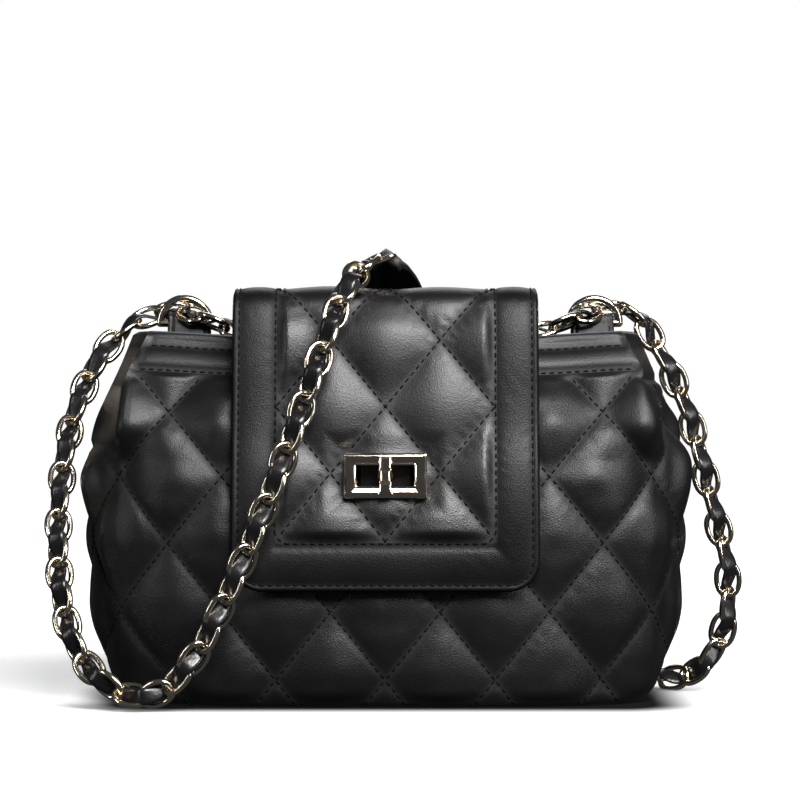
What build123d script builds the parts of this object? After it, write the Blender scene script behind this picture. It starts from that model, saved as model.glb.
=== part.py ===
from build123d import *
import math
import os

# A small quilted leather purse with a turn-lock flap and a sliding chain strap.
# Millimetres. +X is to the right, +Y to the back, +Z up; the base stands on z = 0.

# ---- body -------------------------------------------------------------------
# Height, half width, half depth and corner radius of the stuffed body's outline.
OUTLINE = [
    (0, 108, 42, 26),
    (10, 115, 46, 28),
    (30, 120.5, 49, 28),
    (60, 123, 50, 28),
    (95, 125.5, 47, 26),
    (112, 123, 42, 24),
    (130, 116.5, 34, 20),
    (150, 107.5, 24, 14),
]
BODY_H = OUTLINE[-1][0]
TOP_HALF_DEPTH = OUTLINE[-1][2]
LEATHER_T = 1.4
PADDING_T = 2.8
WALL_T = LEATHER_T + PADDING_T
LINING_T = 0.8
BASE_T = 4.0
BOARD_T = 2.0
GUSSET_X = 100.0          # the front and back panels end here and the gussets begin
BAND_H = 14.5             # smooth band along the top edge of the front and back
WING_Z = 107.0            # the gussets are smooth above this height
BIG = 400.0               # longer than the purse, for cutting boxes

# ---- inner slip pocket --------------------------------------------------------
POCKET_W = 130.0
POCKET_Z = (58.0, 118.0)
POCKET_GAP = 2.2
POCKET_T = 0.8

# ---- flap ---------------------------------------------------------------------
FLAP_HALF_W = 62.0
FIELD_HALF_W = 45.0       # quilted field; the smooth border lies outside it
FLAP_BOTTOM_Z = 47.0
BORDER_W = 17.0
FLAP_LINING_T = 1.2
FLAP_OUTER_T = 3.8
FLAP_CORNER_R = 12.0
HINGE_Y, HINGE_Z = TOP_HALF_DEPTH, BODY_H + 2.0
# Side view of the flap's inner face, from the rear seam over the top and down the front.
FLAP_LINE = [
    (HINGE_Y - 0.5, HINGE_Z + 2.5),
    (-8, 164.5),
    (-34, 166.5),
    (-41, 148),
    (-45.5, 112),
    (-50.5, 94),
    (-52.5, 62),
    (-52, FLAP_BOTTOM_Z),
]
FLAP_RADII = [60, 9, 40, 40, 40, 60]
FLAP_CLEAR = 60.0         # cutting outlines reach this far above the hinge
SEAM_STRIP_H = 14.0
SEAM_STRIP_T = 1.4

# ---- turn lock ------------------------------------------------------------------
LOCK_Z = 94.3
FRAME_W, FRAME_H, FRAME_T = 33.5, 18.3, 3.4
WINDOW_W, WINDOW_H = 24.0, 9.8
FRAME_BACK_Y = -54.6
FRAME_BEVEL = 1.3
BACK_PLATE_FACE_Y = -50.4
BACK_PLATE_T = 0.8
BAR_W, BAR_H, BAR_T = 4.7, 14.1, 4.2
BAR_BEVEL = 0.9
BAR_WAIST_W = 3.6         # the bar's middle third is narrower than its two ends
BAR_WAIST_T = 3.5
LOCK_GAP = 0.3            # between the turning bar and the frame it laps
SPINDLE_R = 2.0
PLATE_W, PLATE_H, PLATE_T = 20.0, 10.0, 1.2
PLATE_FACE_Y = -48.4
POST_R = 3.0
POST_END_Y = -49.2
SCREW_R = 1.0
SCREW_X, SCREW_Z = 14.2, 6.4

# ---- ring tabs and D-rings ----------------------------------------------------------
TAB_X = (-85.5, 88.5)
TAB_W = 16.2
TAB_LEATHER = 1.3
TAB_DROP = 17.0
TAB_LEAN = 3.4            # the sewn end lies this far behind the ring's bar
RING_WIRE_R = 1.7
RING_BORE_GAP = 0.05
RING_INNER_W = 17.4
RING_Y, RING_Z = 15.2, 157.4

# ---- chain strap and shoulder pad -----------------------------------------------------
CHAIN_D = 8.0
FRONT_ROUTE = [
    (-103, 14, 161),
    (-121, 11, 146),
    (-132, -3, 117),
    (-135, -20, 86),
    (-134, -36, 54),
    (-127, -49, 25),
    (-111, -57, 8),
    (-92, -62, 4.6),
    (-76, -66, 20),
    (-60, -69, 52),
    (-44, -69, 91),
    (-30, -63, 131),
    (-19, -54, 163),
    (-11, -42, 180),
    (-5, -29, 185),
]
SIDE_ROUTE = [
    (103, 17, 166),
    (115, 18, 149),
    (129, 18, 120),
    (138, 18, 84),
    (147, 20, 50),
    (144, 22, 22),
    (131, 26, 5.5),
    (112, 42, 4.2),
    (88, 58, 4.4),
    (58, 67, 4.2),
    (30, 69, 5.6),
    (10, 66, 18),
    (2, 60, 36),
]
INNER_ROUTE = [
    (-71, 14, 158),
    (-60, 8, 152),
    (-34, 4, 151),
    (0, 3, 150.2),
    (36, 4, 151),
    (63, 8, 152),
    (74, 14, 157.5),
]
PAD_W = 30.0
PAD_T = 4.5
PAD_END_W = 12.0
PAD_TAPER = 22.0          # longest stretch over which an end narrows
PAD_TAPER_SHARE = 0.8     # and the most of a short piece that narrows
PAD_FRONT_Y = (-16.0, -2.0)
PAD_FRONT_Z = 184.0
PAD_REAR_Y = 52.5
PAD_REAR_Z = (48.0, 144.0)
LOOP_WIRE = 2.2
LOOP_W, LOOP_H = 12.5, 8.0
LOOP_OUTER_R, LOOP_INNER_R = 1.6, 0.8
LOOP_GAP = 0.4            # between a loop and the pad's end
RADIUS_SHARE = 0.45       # of the shorter run, left for each corner of a strap route


def box_between(low, high):
    size = [b - a for a, b in zip(low, high)]
    centre = [(a + b) / 2 for a, b in zip(low, high)]
    return Pos(*centre) * Box(*size)


def side_extrude(face, low_x, high_x):
    """A face drawn in the (y, z) view, extruded along X."""
    return extrude(Plane.YZ.offset(low_x) * face, amount=high_x - low_x)


def envelope(inset, from_z=0.0):
    """The body's stuffed outline as a solid, made smaller by inset all round."""
    rings = [
        Plane.XY.offset(z) * RectangleRounded(2 * (w - inset), 2 * (d - inset), r - inset)
        for z, w, d, r in OUTLINE
    ]
    solid = loft(rings, ruled=True)
    if from_z > 0:
        solid = solid & box_between((-BIG, -BIG, from_z), (BIG, BIG, BODY_H))
    return solid


def wall(outer_inset, inner_inset, from_z):
    return envelope(outer_inset, from_z) - envelope(inner_inset, from_z)


def panels(side):
    """Leather, top band and padding of the front (side -1) or back (side +1)."""
    reach = sorted((0, side * BIG))
    lower = box_between((-GUSSET_X, reach[0], BASE_T), (GUSSET_X, reach[1], BODY_H - BAND_H))
    upper = box_between((-GUSSET_X, reach[0], BODY_H - BAND_H), (GUSSET_X, reach[1], BODY_H))
    leather = wall(0, LEATHER_T, BASE_T)
    padding = wall(LEATHER_T, WALL_T, BASE_T)
    return leather & lower, leather & upper, padding & (lower + upper)


def gusset(side):
    """The soft side of the body and the smooth wing above it."""
    reach = sorted((side * GUSSET_X, side * BIG))
    shell = wall(0, WALL_T, BASE_T)
    lower = box_between((reach[0], -BIG, BASE_T), (reach[1], BIG, WING_Z))
    upper = box_between((reach[0], -BIG, WING_Z), (reach[1], BIG, BODY_H))
    return shell & lower, shell & upper


def base_panel():
    return envelope(0) & box_between((-BIG, -BIG, 0), (BIG, BIG, BASE_T))


def base_board():
    return envelope(WALL_T) & box_between(
        (-BIG, -BIG, BASE_T), (BIG, BIG, BASE_T + BOARD_T)
    )


def lining():
    floor_z = BASE_T + BOARD_T
    return envelope(WALL_T, floor_z) - envelope(WALL_T + LINING_T, floor_z + LINING_T)


def slip_pocket():
    """A fabric pocket on the back lining, open at its top."""
    face = WALL_T + LINING_T
    low_z, high_z = POCKET_Z
    half = POCKET_W / 2
    block = box_between((-half, 0, low_z), (half, BIG, high_z))
    hollow = box_between((-half + POCKET_T, 0, low_z + POCKET_T), (half - POCKET_T, BIG, high_z))
    slab = wall(face, face + POCKET_GAP + POCKET_T, low_z) & block
    return slab - (wall(face, face + POCKET_GAP, low_z) & hollow)


def flap_band(start, thickness):
    """Side view of one layer of the flap, start millimetres outside its inner face."""
    line = FilletPolyline(*FLAP_LINE, radius=FLAP_RADII)
    inner = Wire(line.edges())
    if start > 0:
        inner = inner.offset_2d(start, side=Side.RIGHT, closed=False)
    return make_face(inner.offset_2d(thickness, side=Side.RIGHT, closed=True))


def window(width, height, low_y, high_y):
    return box_between(
        (-width / 2, low_y, LOCK_Z - height / 2), (width / 2, high_y, LOCK_Z + height / 2)
    )


def flap_outline():
    """The flap seen from the front: straight sides and rounded lower corners."""
    height = HINGE_Z + FLAP_CLEAR - FLAP_BOTTOM_Z
    plate = Pos(0, FLAP_BOTTOM_Z + height / 2) * Rectangle(2 * FLAP_HALF_W, height)
    lower = plate.vertices().sort_by(Axis.Y)[:2]
    plate = fillet(lower, FLAP_CORNER_R)
    return extrude(Plane.XZ.offset(-BIG / 2) * plate, amount=BIG)


def flap_parts():
    """Quilted field, smooth border and lining of the flap, with the lock's window."""
    full = flap_outline()
    hole = window(WINDOW_W, WINDOW_H, -BIG, 0)
    seat = window(FRAME_W, FRAME_H, -BIG, FRAME_BACK_Y)
    outer = side_extrude(flap_band(FLAP_LINING_T, FLAP_OUTER_T), -FLAP_HALF_W, FLAP_HALF_W)
    outer = outer & full
    inside = box_between(
        (-FIELD_HALF_W, -BIG, FLAP_BOTTOM_Z + BORDER_W), (FIELD_HALF_W, BIG, BIG)
    )
    field = (outer & inside) - hole - seat
    border = outer - inside
    inner = side_extrude(flap_band(0, FLAP_LINING_T), -FLAP_HALF_W, FLAP_HALF_W)
    return field, border, (inner & full) - hole


def seam_strip():
    """The end of the flap, sewn down on the outside of the back panel."""
    outside = wall(-SEAM_STRIP_T, 0, BASE_T)
    return outside & box_between(
        (-FLAP_HALF_W, 0, BODY_H - SEAM_STRIP_H), (FLAP_HALF_W, BIG, BODY_H)
    )


def lock_frame():
    """The polished plate on the flap, bevelled round its outside, with its window."""
    front = FRAME_BACK_Y - FRAME_T
    plate = window(FRAME_W, FRAME_H, front, FRAME_BACK_Y)
    plate = chamfer(plate.faces().sort_by(Axis.Y)[0].edges(), FRAME_BEVEL)
    return plate - window(WINDOW_W, WINDOW_H, -BIG, 0)


def lock_back_plate():
    """The thin plate behind the flap that the frame is screwed to."""
    face = BACK_PLATE_FACE_Y
    plate = window(FRAME_W, FRAME_H, face, face + BACK_PLATE_T)
    return plate - window(WINDOW_W, WINDOW_H, -BIG, 0)


def lock_screws():
    """Four short screws between the back plate and the frame."""
    places = [(x, z) for x in (-SCREW_X, SCREW_X) for z in (-SCREW_Z, SCREW_Z)]
    length = BACK_PLATE_FACE_Y - FRAME_BACK_Y
    middle = (BACK_PLATE_FACE_Y + FRAME_BACK_Y) / 2
    return [
        Pos(x, middle, LOCK_Z + z) * Rot(90, 0, 0) * Cylinder(SCREW_R, length)
        for x, z in places
    ]


def turn_bar():
    """Two wide ends and a narrower waist, bevelled in front."""
    back = FRAME_BACK_Y - FRAME_T - LOCK_GAP
    third = BAR_H / 3
    ends = [
        Pos(0, back - BAR_T / 2, LOCK_Z + side * third) * Box(BAR_W, BAR_T, third)
        for side in (-1, 1)
    ]
    ends = [chamfer(e.faces().sort_by(Axis.Y)[0].edges(), BAR_BEVEL) for e in ends]
    waist = Pos(0, back - BAR_WAIST_T / 2, LOCK_Z) * Box(BAR_WAIST_W, BAR_WAIST_T, third)
    return ends[0] + waist + ends[1]


def turn_spindle():
    """The shaft behind the bar, through the flap's window."""
    back = FRAME_BACK_Y - FRAME_T - LOCK_GAP
    end = POST_END_Y - LOCK_GAP
    return Pos(0, (back + end) / 2, LOCK_Z) * Rot(90, 0, 0) * Cylinder(SPINDLE_R, end - back)


def lock_base():
    """The plate on the body that the flap closes onto, with its round post."""
    plate = window(PLATE_W, PLATE_H, PLATE_FACE_Y, PLATE_FACE_Y + PLATE_T)
    length = PLATE_FACE_Y - POST_END_Y
    post = Pos(0, PLATE_FACE_Y - length / 2, LOCK_Z) * Rot(90, 0, 0) * Cylinder(POST_R, length)
    return plate, post


def ring_tab(x, blocked):
    """A leather loop folded over the ring's bar and sewn inside the back panel."""
    fold_r = RING_WIRE_R + RING_BORE_GAP + TAB_LEATHER
    fold = Pos(x, RING_Y, RING_Z) * Rot(0, 90, 0) * Cylinder(fold_r, TAB_W)
    leaf = Polyline(
        (RING_Y - fold_r, RING_Z),
        (RING_Y + TAB_LEAN, RING_Z - TAB_DROP),
        (RING_Y + TAB_LEAN + 2 * TAB_LEATHER, RING_Z - TAB_DROP),
        (RING_Y + fold_r, RING_Z),
        close=True,
    )
    leaves = side_extrude(make_face(leaf), x - TAB_W / 2, x + TAB_W / 2)
    bore = Pos(x, RING_Y, RING_Z) * Rot(0, 90, 0) * Cylinder(
        RING_WIRE_R + RING_BORE_GAP, TAB_W + 2
    )
    return fold + leaves - bore - blocked


def d_ring(x):
    """A D-shaped ring: a straight bar below and a half-circle arc above."""
    half = RING_INNER_W / 2 + RING_WIRE_R
    section = Plane(origin=(x - half, RING_Y, RING_Z), x_dir=(0, 1, 0), z_dir=(0, 0, 1))
    arc = ThreePointArc(
        (x - half, RING_Y, RING_Z), (x, RING_Y, RING_Z + half), (x + half, RING_Y, RING_Z)
    )
    bow = sweep(section * Circle(RING_WIRE_R), path=arc)
    bar = Pos(x, RING_Y, RING_Z) * Rot(0, 90, 0) * Cylinder(RING_WIRE_R, 2 * half)
    corners = [Pos(x + side * half, RING_Y, RING_Z) * Sphere(RING_WIRE_R) for side in (-1, 1)]
    return bow + bar + corners[0] + corners[1]


def corner_radii(points):
    """The largest tangent arc that each corner's two runs allow."""
    radii = []
    for a, b, c in zip(points, points[1:], points[2:]):
        before, after = Vector(*b) - Vector(*a), Vector(*c) - Vector(*b)
        turn = math.radians(before.get_angle(after))
        radii.append(RADIUS_SHARE * min(before.length, after.length) / math.tan(turn / 2))
    return radii


def tube(name, points):
    radii = corner_radii(points)
    path = FilletPolyline(*points, radius=radii)
    start = Plane(origin=path @ 0, z_dir=path % 0)
    solid = sweep(start * Circle(CHAIN_D / 2), path=path)
    section = math.pi * CHAIN_D**2 / 4
    print(name, "length", round(path.length, 1), "smallest radius", round(min(radii), 1))
    print("  radii", [round(r) for r in radii], "volume ratio",
          round(solid.volume / (section * path.length), 4))
    return solid


def pad_slab(length):
    """Plan of the shoulder pad's end: full width, tapering to the metal loop."""
    taper = min(length * PAD_TAPER_SHARE, PAD_TAPER)
    outline = Polyline(
        (-PAD_END_W / 2, 0),
        (-PAD_W / 2, taper),
        (-PAD_W / 2, length),
        (PAD_W / 2, length),
        (PAD_W / 2, taper),
        (PAD_END_W / 2, 0),
        close=True,
    )
    return make_face(outline)


def pad_front():
    """The pad's front end, above the flap's top."""
    plan = pad_slab(PAD_FRONT_Y[1] - PAD_FRONT_Y[0])
    return extrude(Pos(0, PAD_FRONT_Y[0], PAD_FRONT_Z) * plan, amount=PAD_T)


def pad_rear():
    """The pad's long rear part, hanging behind the back panel."""
    plan = pad_slab(PAD_REAR_Z[1] - PAD_REAR_Z[0])
    upright = Plane(origin=(0, PAD_REAR_Y, PAD_REAR_Z[0]), x_dir=(1, 0, 0), z_dir=(0, -1, 0))
    return extrude(upright * plan, amount=-PAD_T)


def wire_loop(plane):
    """A rectangular loop of square wire, drawn on a plane through its middle."""
    outer = RectangleRounded(LOOP_W, LOOP_H, LOOP_OUTER_R)
    inner = RectangleRounded(LOOP_W - 2 * LOOP_WIRE, LOOP_H - 2 * LOOP_WIRE, LOOP_INNER_R)
    return extrude(plane * (outer - inner), amount=LOOP_WIRE / 2, both=True)


def main():
    os.makedirs("parts", exist_ok=True)
    parts = {}

    parts["base_panel"] = base_panel()
    parts["base_board"] = base_board()
    parts["lining"] = lining()
    parts["slip_pocket"] = slip_pocket()
    plate, post = lock_base()
    for name, side in (("front", -1), ("back", 1)):
        leather, band, padding = panels(side)
        if side < 0:
            leather, padding = leather - plate, padding - plate
        parts[name + "_panel"] = leather
        parts[name + "_band"] = band
        parts[name + "_padding"] = padding
    for name, side in (("left", -1), ("right", 1)):
        parts[name + "_gusset"], parts[name + "_wing"] = gusset(side)
    parts["flap_seam_strip"] = seam_strip()
    parts["lock_base_plate"], parts["lock_post"] = plate, post

    blocked = envelope(0) - envelope(WALL_T + LINING_T, BASE_T)
    for name, x in zip(("left", "right"), TAB_X):
        parts[name + "_ring_tab"] = ring_tab(x, blocked)
        parts[name + "_ring"] = d_ring(x)

    field, border, flap_lining = flap_parts()
    frame, back_plate = lock_frame(), lock_back_plate()
    screws = lock_screws()
    cut = back_plate + screws[0] + screws[1] + screws[2] + screws[3]
    parts["flap_quilted_field"] = field - cut
    parts["flap_border"] = border
    parts["flap_lining"] = flap_lining - cut
    parts["lock_frame"] = frame
    parts["lock_back_plate"] = back_plate
    parts["lock_screws"] = Compound(children=screws)
    parts["turn_bar"] = turn_bar()
    parts["turn_spindle"] = turn_spindle()

    parts["strap_front_chain"] = tube("strap_front_chain", FRONT_ROUTE)
    parts["strap_side_chain"] = tube("strap_side_chain", SIDE_ROUTE)
    parts["strap_inner_chain"] = tube("strap_inner_chain", INNER_ROUTE)
    parts["pad_front"] = pad_front()
    parts["pad_rear"] = pad_rear()
    front_y = PAD_FRONT_Y[0] - LOOP_H / 2 - LOOP_GAP
    rear_z = PAD_REAR_Z[0] - LOOP_H / 2 - LOOP_GAP
    parts["pad_front_loop"] = wire_loop(Plane(origin=(0, front_y, PAD_FRONT_Z + PAD_T / 2)))
    parts["pad_rear_loop"] = wire_loop(
        Plane(origin=(0, PAD_REAR_Y + PAD_T / 2, rear_z), x_dir=(1, 0, 0), z_dir=(0, -1, 0))
    )

    for name, shape in parts.items():
        shape.label = name
        export_step(shape, f"parts/{name}.step")
        print(name, round(shape.volume, 1), "solids", len(shape.solids()), shape.is_valid)


main()
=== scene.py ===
import math

import bpy
import numpy as np
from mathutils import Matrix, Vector


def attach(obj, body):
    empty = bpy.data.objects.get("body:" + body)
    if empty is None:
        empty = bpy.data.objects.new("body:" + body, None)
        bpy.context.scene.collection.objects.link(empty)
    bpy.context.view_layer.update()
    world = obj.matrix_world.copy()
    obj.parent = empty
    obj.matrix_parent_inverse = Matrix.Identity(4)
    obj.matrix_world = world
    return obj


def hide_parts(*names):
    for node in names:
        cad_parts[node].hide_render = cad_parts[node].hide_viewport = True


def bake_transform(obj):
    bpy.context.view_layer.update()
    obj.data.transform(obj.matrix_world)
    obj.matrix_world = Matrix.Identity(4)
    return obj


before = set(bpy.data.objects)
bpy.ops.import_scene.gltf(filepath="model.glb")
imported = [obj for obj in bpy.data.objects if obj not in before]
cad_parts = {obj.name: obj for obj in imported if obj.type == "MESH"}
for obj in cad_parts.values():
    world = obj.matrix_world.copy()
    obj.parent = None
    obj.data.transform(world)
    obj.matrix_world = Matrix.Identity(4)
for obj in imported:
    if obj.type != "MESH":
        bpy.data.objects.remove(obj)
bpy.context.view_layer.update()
MM = 0.001

# ---- camera, floor and light ------------------------------------------------------------------
CAMERA_BACK = 1.300        # from the purse's middle to the lens
CAMERA_X, CAMERA_Z = 0.0059, 0.1247
FRAME_WIDE = 0.336         # width of the view at the purse's middle
SENSOR = 36.0
WORLD_STRENGTH = 0.045
LIGHTS = [                 # name, place, what it points at, size, watts
    ("key_softbox", (0.42, -1.20, 1.02), (0, 0, 0.1), (0.9, 0.46), 38),
    ("left_strip", (-0.95, -0.65, 0.40), (0, 0, 0.08), (0.08, 0.7), 1.8),
    ("right_strip", (0.95, -0.65, 0.40), (0, 0, 0.08), (0.08, 0.7), 3.5),
    ("back_softbox", (0.2, 1.1, 0.9), (0, 0, 0.1), (1.0, 0.5), 4),
]
FLOOR_SIZE, FLOOR_Z = 60, -0.0003            # just under the base, so that the two never touch
PAPER_TONE = 0.82
PAPER_GLOW = (0.15, 0.9, 0.45, 1.0)          # near, far, and the glow at each
SHADOW_HALF = (0.096, 0.030, 0)              # the contact shadow's core under the base
SHADOW_EDGE = (0.014, 0.040, 0.01, 1.0)      # its edge's reach, and the paper's share at each end


def add_camera():
    data = bpy.data.cameras.new("camera")
    data.sensor_width = SENSOR
    data.lens = SENSOR * CAMERA_BACK / FRAME_WIDE
    data.clip_start, data.clip_end = 0.05, 20
    camera = bpy.data.objects.new("camera", data)
    camera.location = (CAMERA_X, -CAMERA_BACK, CAMERA_Z)
    camera.rotation_euler = (math.radians(90), 0, 0)
    bpy.context.scene.collection.objects.link(camera)
    bpy.context.scene.camera = camera


def add_light(name, place, target, size, power):
    data = bpy.data.lights.new(name, "AREA")
    data.shape, data.size, data.size_y = "RECTANGLE", size[0], size[1]
    data.energy = power
    light = bpy.data.objects.new(name, data)
    light.location = place
    light.rotation_euler = (Vector(target) - Vector(place)).to_track_quat("-Z", "Y").to_euler()
    bpy.context.scene.collection.objects.link(light)
    light.visible_camera = False


def add_world():
    """White to the camera, a dim cool fill to everything else."""
    world = bpy.data.worlds.new("studio")
    bpy.context.scene.world = world
    world.use_nodes = True
    nodes, links = world.node_tree.nodes, world.node_tree.links
    nodes.clear()
    seen, lit = nodes.new("ShaderNodeBackground"), nodes.new("ShaderNodeBackground")
    seen.inputs["Color"].default_value = (1, 1, 1, 1)
    lit.inputs["Color"].default_value = (0.9, 0.95, 1, 1)
    lit.inputs["Strength"].default_value = WORLD_STRENGTH
    mix, path = nodes.new("ShaderNodeMixShader"), nodes.new("ShaderNodeLightPath")
    out = nodes.new("ShaderNodeOutputWorld")
    links.new(path.outputs["Is Camera Ray"], mix.inputs[0])
    links.new(lit.outputs[0], mix.inputs[1])
    links.new(seen.outputs[0], mix.inputs[2])
    links.new(mix.outputs[0], out.inputs[0])


def add_stage_and_light():
    bpy.context.scene.view_settings.view_transform = "Standard"
    add_world()
    bpy.ops.mesh.primitive_plane_add(size=FLOOR_SIZE, location=(0, 0, FLOOR_Z))
    floor = bpy.context.object
    floor.name = "floor"
    floor.data.materials.append(glowing_paper())
    floor.visible_glossy = floor.visible_diffuse = False
    for light in LIGHTS:
        add_light(*light)


# ---- materials --------------------------------------------------------------------------------
def new_material(name, colour, roughness, metallic=0.0):
    material = bpy.data.materials.new(name)
    material.use_nodes = True
    nodes = material.node_tree.nodes
    shader = nodes["Principled BSDF"]
    shader.inputs["Base Color"].default_value = (*colour, 1)
    shader.inputs["Roughness"].default_value = roughness
    shader.inputs["Metallic"].default_value = metallic
    return material, nodes, material.node_tree.links, shader


def glowing_paper():
    """White studio paper, lit a little from within, with a soft contact shadow under the base."""
    material, nodes, links, shader = new_material("floor_paper", (PAPER_TONE,) * 3, 0.9)
    shader.inputs["Specular IOR Level"].default_value = 0.0
    place, far = nodes.new("ShaderNodeTexCoord"), nodes.new("ShaderNodeVectorMath")
    far.operation = "LENGTH"
    links.new(place.outputs["Object"], far.inputs[0])
    glow = remap(nodes, links, far.outputs["Value"], *PAPER_GLOW)
    links.new(glow, shader.inputs["Emission Strength"])
    reach = place.outputs["Object"]
    for operation, value in (("ABSOLUTE", None), ("SUBTRACT", SHADOW_HALF),
                             ("MAXIMUM", (0, 0, 0)), ("LENGTH", None)):
        step = nodes.new("ShaderNodeVectorMath")
        step.operation = operation
        if value is not None:
            step.inputs[1].default_value = value
        links.new(reach, step.inputs[0])
        reach = step.outputs["Value" if operation == "LENGTH" else "Vector"]
    shade = remap(nodes, links, reach, *SHADOW_EDGE)
    shade.node.interpolation_type = "SMOOTHSTEP"
    for socket, level in (("Base Color", PAPER_TONE), ("Emission Color", 1.0)):
        tint = nodes.new("ShaderNodeVectorMath")
        tint.operation = "SCALE"
        tint.inputs[0].default_value = (level, level, level)
        links.new(shade, tint.inputs["Scale"])
        links.new(tint.outputs["Vector"], shader.inputs[socket])
    return material


def object_noise(nodes, links, scale, detail=3.0, kind="ShaderNodeTexNoise"):
    place = nodes.new("ShaderNodeTexCoord")
    noise = nodes.new(kind)
    noise.inputs["Scale"].default_value = scale
    if "Detail" in noise.inputs:
        noise.inputs["Detail"].default_value = detail
    links.new(place.outputs["Object"], noise.inputs["Vector"])
    return noise


def remap(nodes, links, value, low, high, out_low, out_high):
    node = nodes.new("ShaderNodeMapRange")
    node.inputs["From Min"].default_value, node.inputs["From Max"].default_value = low, high
    node.inputs["To Min"].default_value, node.inputs["To Max"].default_value = out_low, out_high
    links.new(value, node.inputs["Value"])
    return node.outputs["Result"]


def bump_from(nodes, links, height, distance, strength, normal=None):
    bump = nodes.new("ShaderNodeBump")
    bump.inputs["Distance"].default_value = distance
    bump.inputs["Strength"].default_value = strength
    links.new(height, bump.inputs["Height"])
    if normal is not None:
        links.new(normal, bump.inputs["Normal"])
    return bump.outputs["Normal"]


def two_tones(nodes, links, shader, value, colour, darker, lighter):
    """Colours the shader between a darker and a lighter tone of one colour."""
    tone = nodes.new("ShaderNodeValToRGB")
    low, high = tone.color_ramp.elements
    low.color = (*[c * darker for c in colour], 1)
    high.color = (*[c * lighter for c in colour], 1)
    links.new(value, tone.inputs["Fac"])
    links.new(tone.outputs["Color"], shader.inputs["Base Color"])
    return low, high


SEAM_DULLNESS = 0.22       # how much rougher the leather is along its seams


def leather(name, colour, roughness, grain=1700, grain_depth=0.00009, coat=0.0, shine=0.5):
    """Fine-grained leather: pebbled cells, pores and slow changes in gloss and colour."""
    material, nodes, links, shader = new_material(name, colour, roughness)
    shader.inputs["Specular IOR Level"].default_value = shine
    shader.inputs["Coat Weight"].default_value = coat
    shader.inputs["Coat Roughness"].default_value = 0.25
    slow = object_noise(nodes, links, 26, 4)
    gloss = remap(nodes, links, slow.outputs["Fac"], 0.3, 0.7, roughness - 0.03, roughness + 0.03)
    seam = nodes.new("ShaderNodeAttribute")
    seam.attribute_name = "seam"
    dulled = nodes.new("ShaderNodeMath")
    dulled.operation, dulled.inputs[1].default_value = "MULTIPLY_ADD", SEAM_DULLNESS
    links.new(seam.outputs["Fac"], dulled.inputs[0])
    links.new(gloss, dulled.inputs[2])
    links.new(dulled.outputs[0], shader.inputs["Roughness"])
    low, high = two_tones(nodes, links, shader, slow.outputs["Fac"], colour, 0.75, 1.35)
    low.position, high.position = 0.3, 0.75
    cells = object_noise(nodes, links, grain, 0, "ShaderNodeTexVoronoi")
    pores = object_noise(nodes, links, grain * 2.2, 2)
    creases = object_noise(nodes, links, grain * 0.22, 5)
    first = bump_from(nodes, links, cells.outputs["Distance"], grain_depth, 0.8)
    second = bump_from(nodes, links, pores.outputs["Fac"], grain_depth * 0.7, 0.6, first)
    third = bump_from(nodes, links, creases.outputs["Fac"], grain_depth * 2.0, 0.12, second)
    links.new(third, shader.inputs["Normal"])
    return material


def metal(name, colour, roughness):
    """Polished plated metal, with faint smears and hairline scratches."""
    material, nodes, links, shader = new_material(name, colour, roughness, 1.0)
    smear = object_noise(nodes, links, 160, 4)
    rough = remap(nodes, links, smear.outputs["Fac"], 0.3, 0.75, roughness * 0.8, roughness * 1.3)
    links.new(rough, shader.inputs["Roughness"])
    scratch = object_noise(nodes, links, 2400, 2)
    links.new(bump_from(nodes, links, scratch.outputs["Fac"], 0.00002, 0.05), shader.inputs["Normal"])
    return material


def woven(name, colour, roughness, thread=0.0006):
    """Twill cloth: diagonal ribs with a little fuzz."""
    material, nodes, links, shader = new_material(name, colour, roughness)
    shader.inputs["Sheen Weight"].default_value = 0.3
    place = nodes.new("ShaderNodeTexCoord")
    wave = nodes.new("ShaderNodeTexWave")
    wave.wave_type, wave.bands_direction = "BANDS", "DIAGONAL"
    wave.inputs["Scale"].default_value = 1 / (thread * 20)      # a band takes 1/20 of the scale's unit
    wave.inputs["Distortion"].default_value = 0.6
    links.new(place.outputs["Object"], wave.inputs["Vector"])
    fuzz = object_noise(nodes, links, 1800, 3)
    first = bump_from(nodes, links, wave.outputs["Fac"], 0.0002, 0.6)
    links.new(bump_from(nodes, links, fuzz.outputs["Fac"], 0.0001, 0.3, first), shader.inputs["Normal"])
    two_tones(nodes, links, shader, wave.outputs["Fac"], colour, 0.6, 1.4)
    return material


BLACK = (0.0058, 0.0055, 0.0058)
# Lit and shaded copies of one black lambskin: the shine is set per part as painted light, higher on the
# flap's quilting for a painted highlight, lower on the body, the flap border and the gusset wings for
# painted shade (on the wings it hides the chain's reflection).
LAMBSKIN = leather("quilted_lambskin", BLACK, 0.40, shine=0.42)
FLAP_LAMBSKIN_PAINTED_BRIGHT = leather("flap_lambskin_painted_bright", BLACK, 0.39, shine=0.62)
BORDER_LAMBSKIN_PAINTED_DARK = leather("border_lambskin_painted_dark", BLACK, 0.41, shine=0.27)
SMOOTH = leather("smooth_lambskin", BLACK, 0.42, shine=0.45)
WING_LAMBSKIN_PAINTED_DARK = leather("gusset_lambskin_painted_dark", BLACK, 0.45, shine=0.25)
STRAP_LEATHER = leather("strap_leather", (0.008, 0.008, 0.0085), 0.27, 700, 0.00008, coat=0.25)
FLAP_LINING = leather("flap_lining_leather", (0.012, 0.0115, 0.0115), 0.55, 1200)
THREAD = leather("black_thread", (0.005, 0.005, 0.005), 0.7, 2500, 0.0001, shine=0.12)
LINING = woven("twill_lining", (0.02, 0.019, 0.019), 0.75)
BOARD = leather("stiffener", (0.03, 0.03, 0.03), 0.7)
GOLD = metal("champagne_gold", (0.94, 0.81, 0.66), 0.12)
CHAIN_GOLD = metal("chain_gold", (0.94, 0.83, 0.66), 0.14)
DARK_METAL = metal("black_lacquered_metal", (0.05, 0.05, 0.05), 0.35)


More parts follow.
